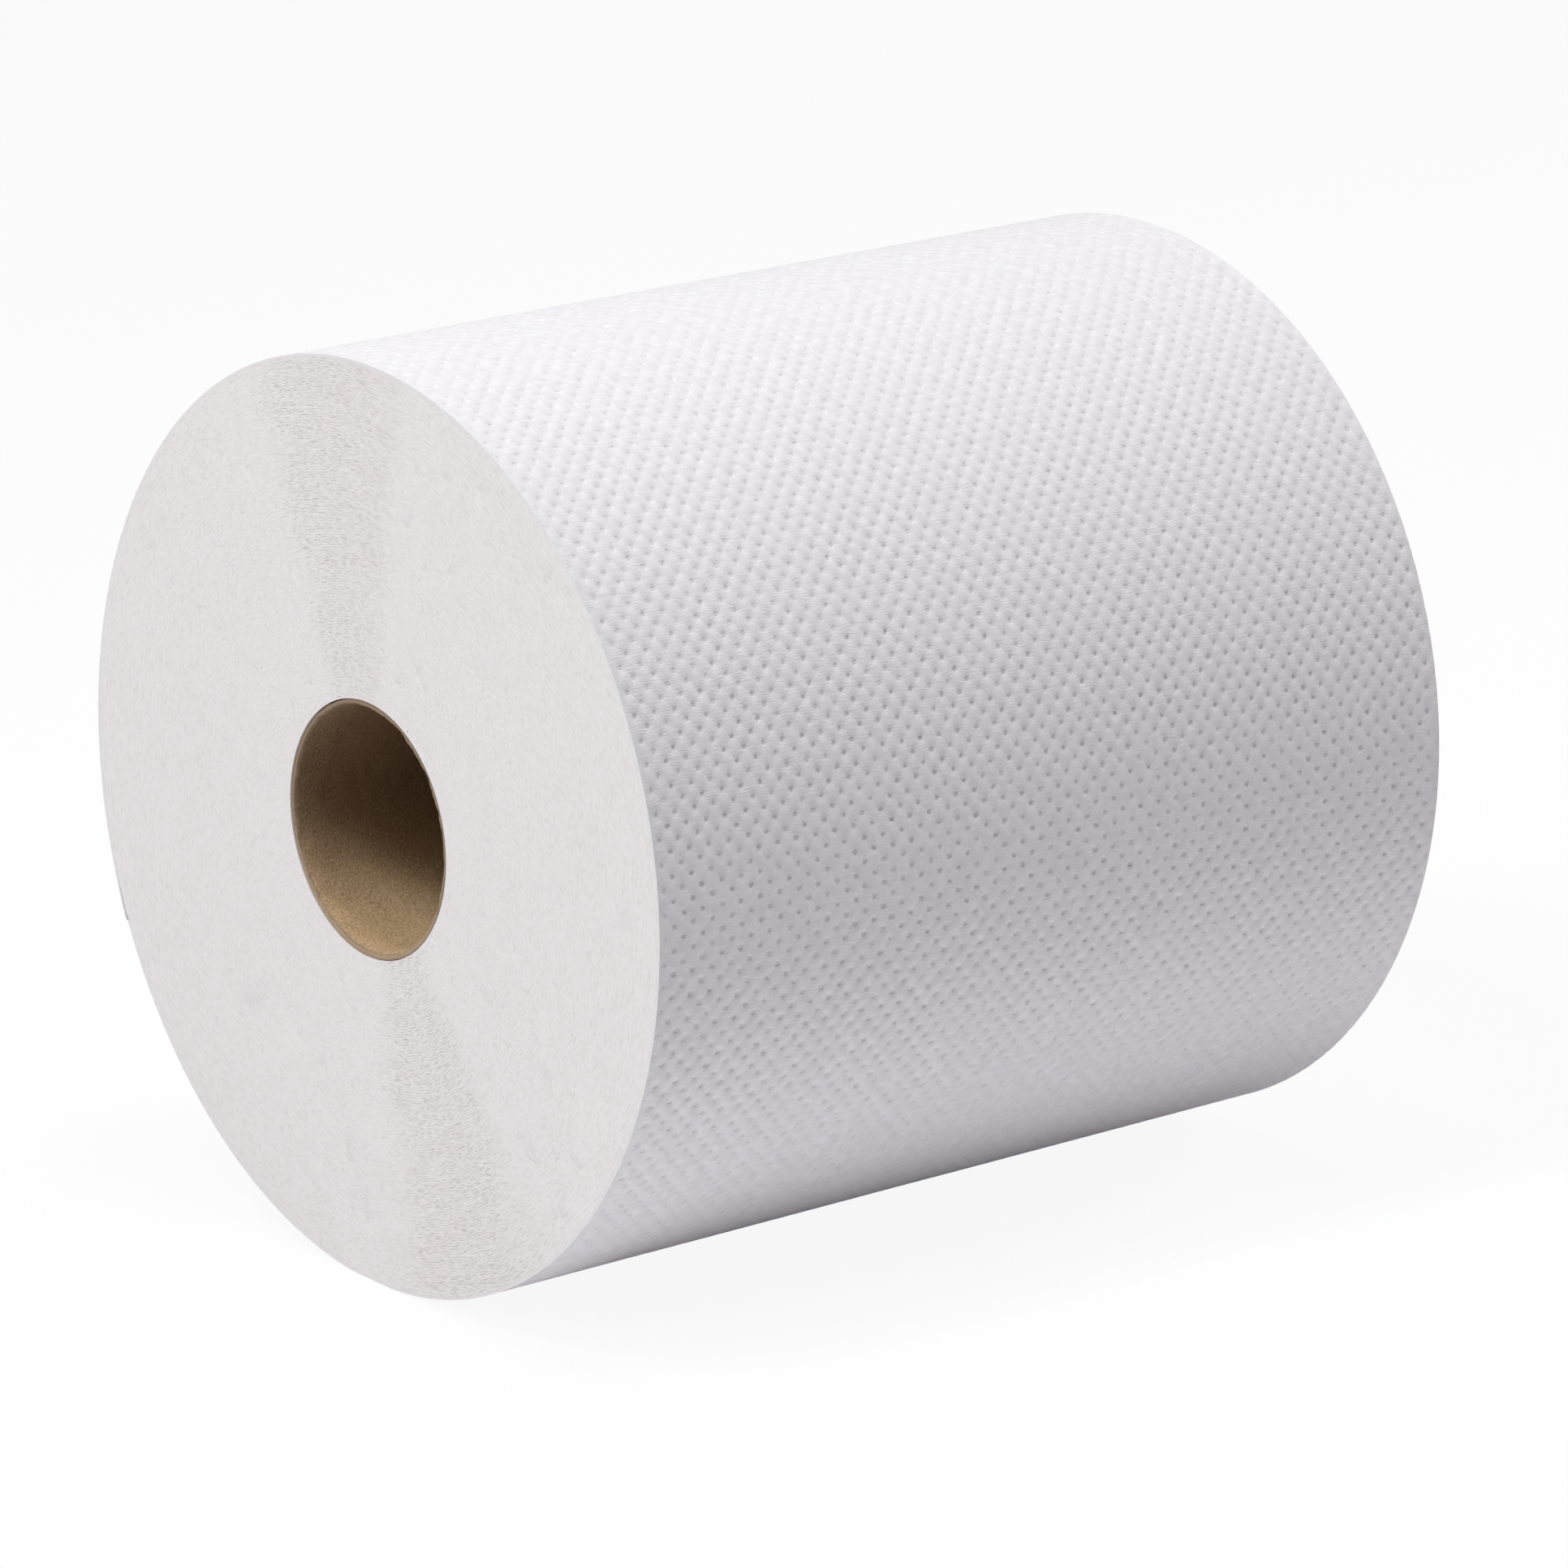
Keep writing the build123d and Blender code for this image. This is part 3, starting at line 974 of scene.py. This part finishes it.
tissueFinish = makeTissue()
for piece, finish, slotName, node in (
    *((webPiece, tissueFinish, "towel_paper", "paper_roll") for webPiece in webPieces),
    (woundTurns, makeSawnEdge(), "towel_paper", "paper_roll"),
    (coreTube, makeKraft(), "core_kraft", "cardboard_core"),
):
    piece.data.materials.append(finish)
    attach(piece, "root")
    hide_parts(node)
print("finishes set")


# Camera where the photograph was taken from
camera = {
    "lens": 194.37,                # millimetres on a 36 mm wide sensor
    "azimuth": math.radians(51.74),
    "elevation": math.radians(16.71),
    "fromMiddle": Vector((1.33176, -1.04498, 0.49895)),
}


def makeCamera():
    data = bpy.data.cameras.new("photo camera")
    data.sensor_fit = "HORIZONTAL"
    data.sensor_width = 36
    data.lens = camera["lens"]
    data.clip_start = 0.05
    data.clip_end = 50
    made = bpy.data.objects.new("photo camera", data)
    bpy.context.scene.collection.objects.link(made)
    made.location = Vector((0, 0, axisHeight)) + camera["fromMiddle"]
    made.rotation_euler = (math.pi / 2 - camera["elevation"], 0, camera["azimuth"])
    bpy.context.scene.camera = made


# Plain pale floor and soft studio light
studio = {
    "floorSize": 12.0,
    "floorColour": (0.95, 0.936, 0.975),
    "floorWhite": 0.92,             # share of plain white that the camera sees of the floor
    "world": (0.04, 0.039, 0.043),
    "lamps": {
        # name: place, size, watts
        "front key": ((0.05, -0.85, 1.45), 0.45, 10.2),
        "top softbox": ((0.22, 0.0, 1.5), 0.6, 7.8),
        "end softbox": ((-0.3, -1.8, 1.0), 1.0, 14.0),
        "rear softbox": ((0.25, 1.8, 1.0), 1.0, 16.2),
    },
    "strip": {
        # lights the floor beside the roll, which lights the roll from below
        "place": (0.155, 0.0, 0.9),
        "width": 0.06,
        "length": 0.5,
        "watts": 0.12,
        "spread": math.radians(5),
    },
}


def seenPlainly(tree):
    # 1 for rays that show the background itself, 0 for rays that carry its light
    rays = tree.nodes.new("ShaderNodeLightPath")
    shown = mathNode(tree, "MAXIMUM", rays.outputs["Is Camera Ray"], rays.outputs["Is Glossy Ray"])
    return mathNode(tree, "MAXIMUM", shown, rays.outputs["Is Transmission Ray"])


def areaLamp(name, place, watts, width, length):
    data = bpy.data.lights.new(name, "AREA")
    data.shape = "RECTANGLE"
    data.size = width
    data.size_y = length
    data.energy = watts
    lamp = bpy.data.objects.new(name, data)
    bpy.context.scene.collection.objects.link(lamp)
    lamp.location = place
    return lamp


def makeStudio():
    side = studio["floorSize"] / 2
    corners = np.array([(-side, -side, 0), (side, -side, 0), (side, side, 0), (-side, side, 0)])
    floor = meshObject("studio_floor", corners, [np.array([(0, 1, 2, 3)])], smooth=False)
    paint = bpy.data.materials.new("floor paint")
    paint.use_nodes = True
    tree = paint.node_tree
    shader = tree.nodes["Principled BSDF"]
    shader.inputs["Base Color"].default_value = (*studio["floorColour"], 1)
    shader.inputs["Roughness"].default_value = 1
    shader.inputs["Specular IOR Level"].default_value = 0
    glow = tree.nodes.new("ShaderNodeEmission")
    blend = tree.nodes.new("ShaderNodeMixShader")
    feed(tree, blend.inputs[0], mathNode(tree, "MULTIPLY", seenPlainly(tree), studio["floorWhite"]))
    feed(tree, blend.inputs[1], shader.outputs[0])
    feed(tree, blend.inputs[2], glow.outputs[0])
    feed(tree, tree.nodes["Material Output"].inputs["Surface"], blend.outputs[0])
    floor.data.materials.append(paint)

    world = bpy.data.worlds.new("studio")
    bpy.context.scene.world = world
    world.use_nodes = True
    tree = world.node_tree
    ambient = tree.nodes["Background"]
    ambient.inputs["Color"].default_value = (*studio["world"], 1)
    white = tree.nodes.new("ShaderNodeBackground")
    white.inputs["Color"].default_value = (1, 1, 1, 1)
    blend = tree.nodes.new("ShaderNodeMixShader")
    feed(tree, blend.inputs[0], seenPlainly(tree))
    feed(tree, blend.inputs[1], ambient.outputs[0])
    feed(tree, blend.inputs[2], white.outputs[0])
    feed(tree, tree.nodes["World Output"].inputs["Surface"], blend.outputs[0])

    for name, (place, size, watts) in studio["lamps"].items():
        lamp = areaLamp(name, place, watts, size, size)
        aim = Vector((0, 0, axisHeight)) - lamp.location
        lamp.rotation_euler = aim.to_track_quat("-Z", "Y").to_euler()

    strip = studio["strip"]
    lamp = areaLamp("floor strip", strip["place"], strip["watts"], strip["width"], strip["length"])
    lamp.data.spread = strip["spread"]


makeCamera()
makeStudio()
bpy.context.scene.view_settings.view_transform = "Standard"
print("camera and studio set")
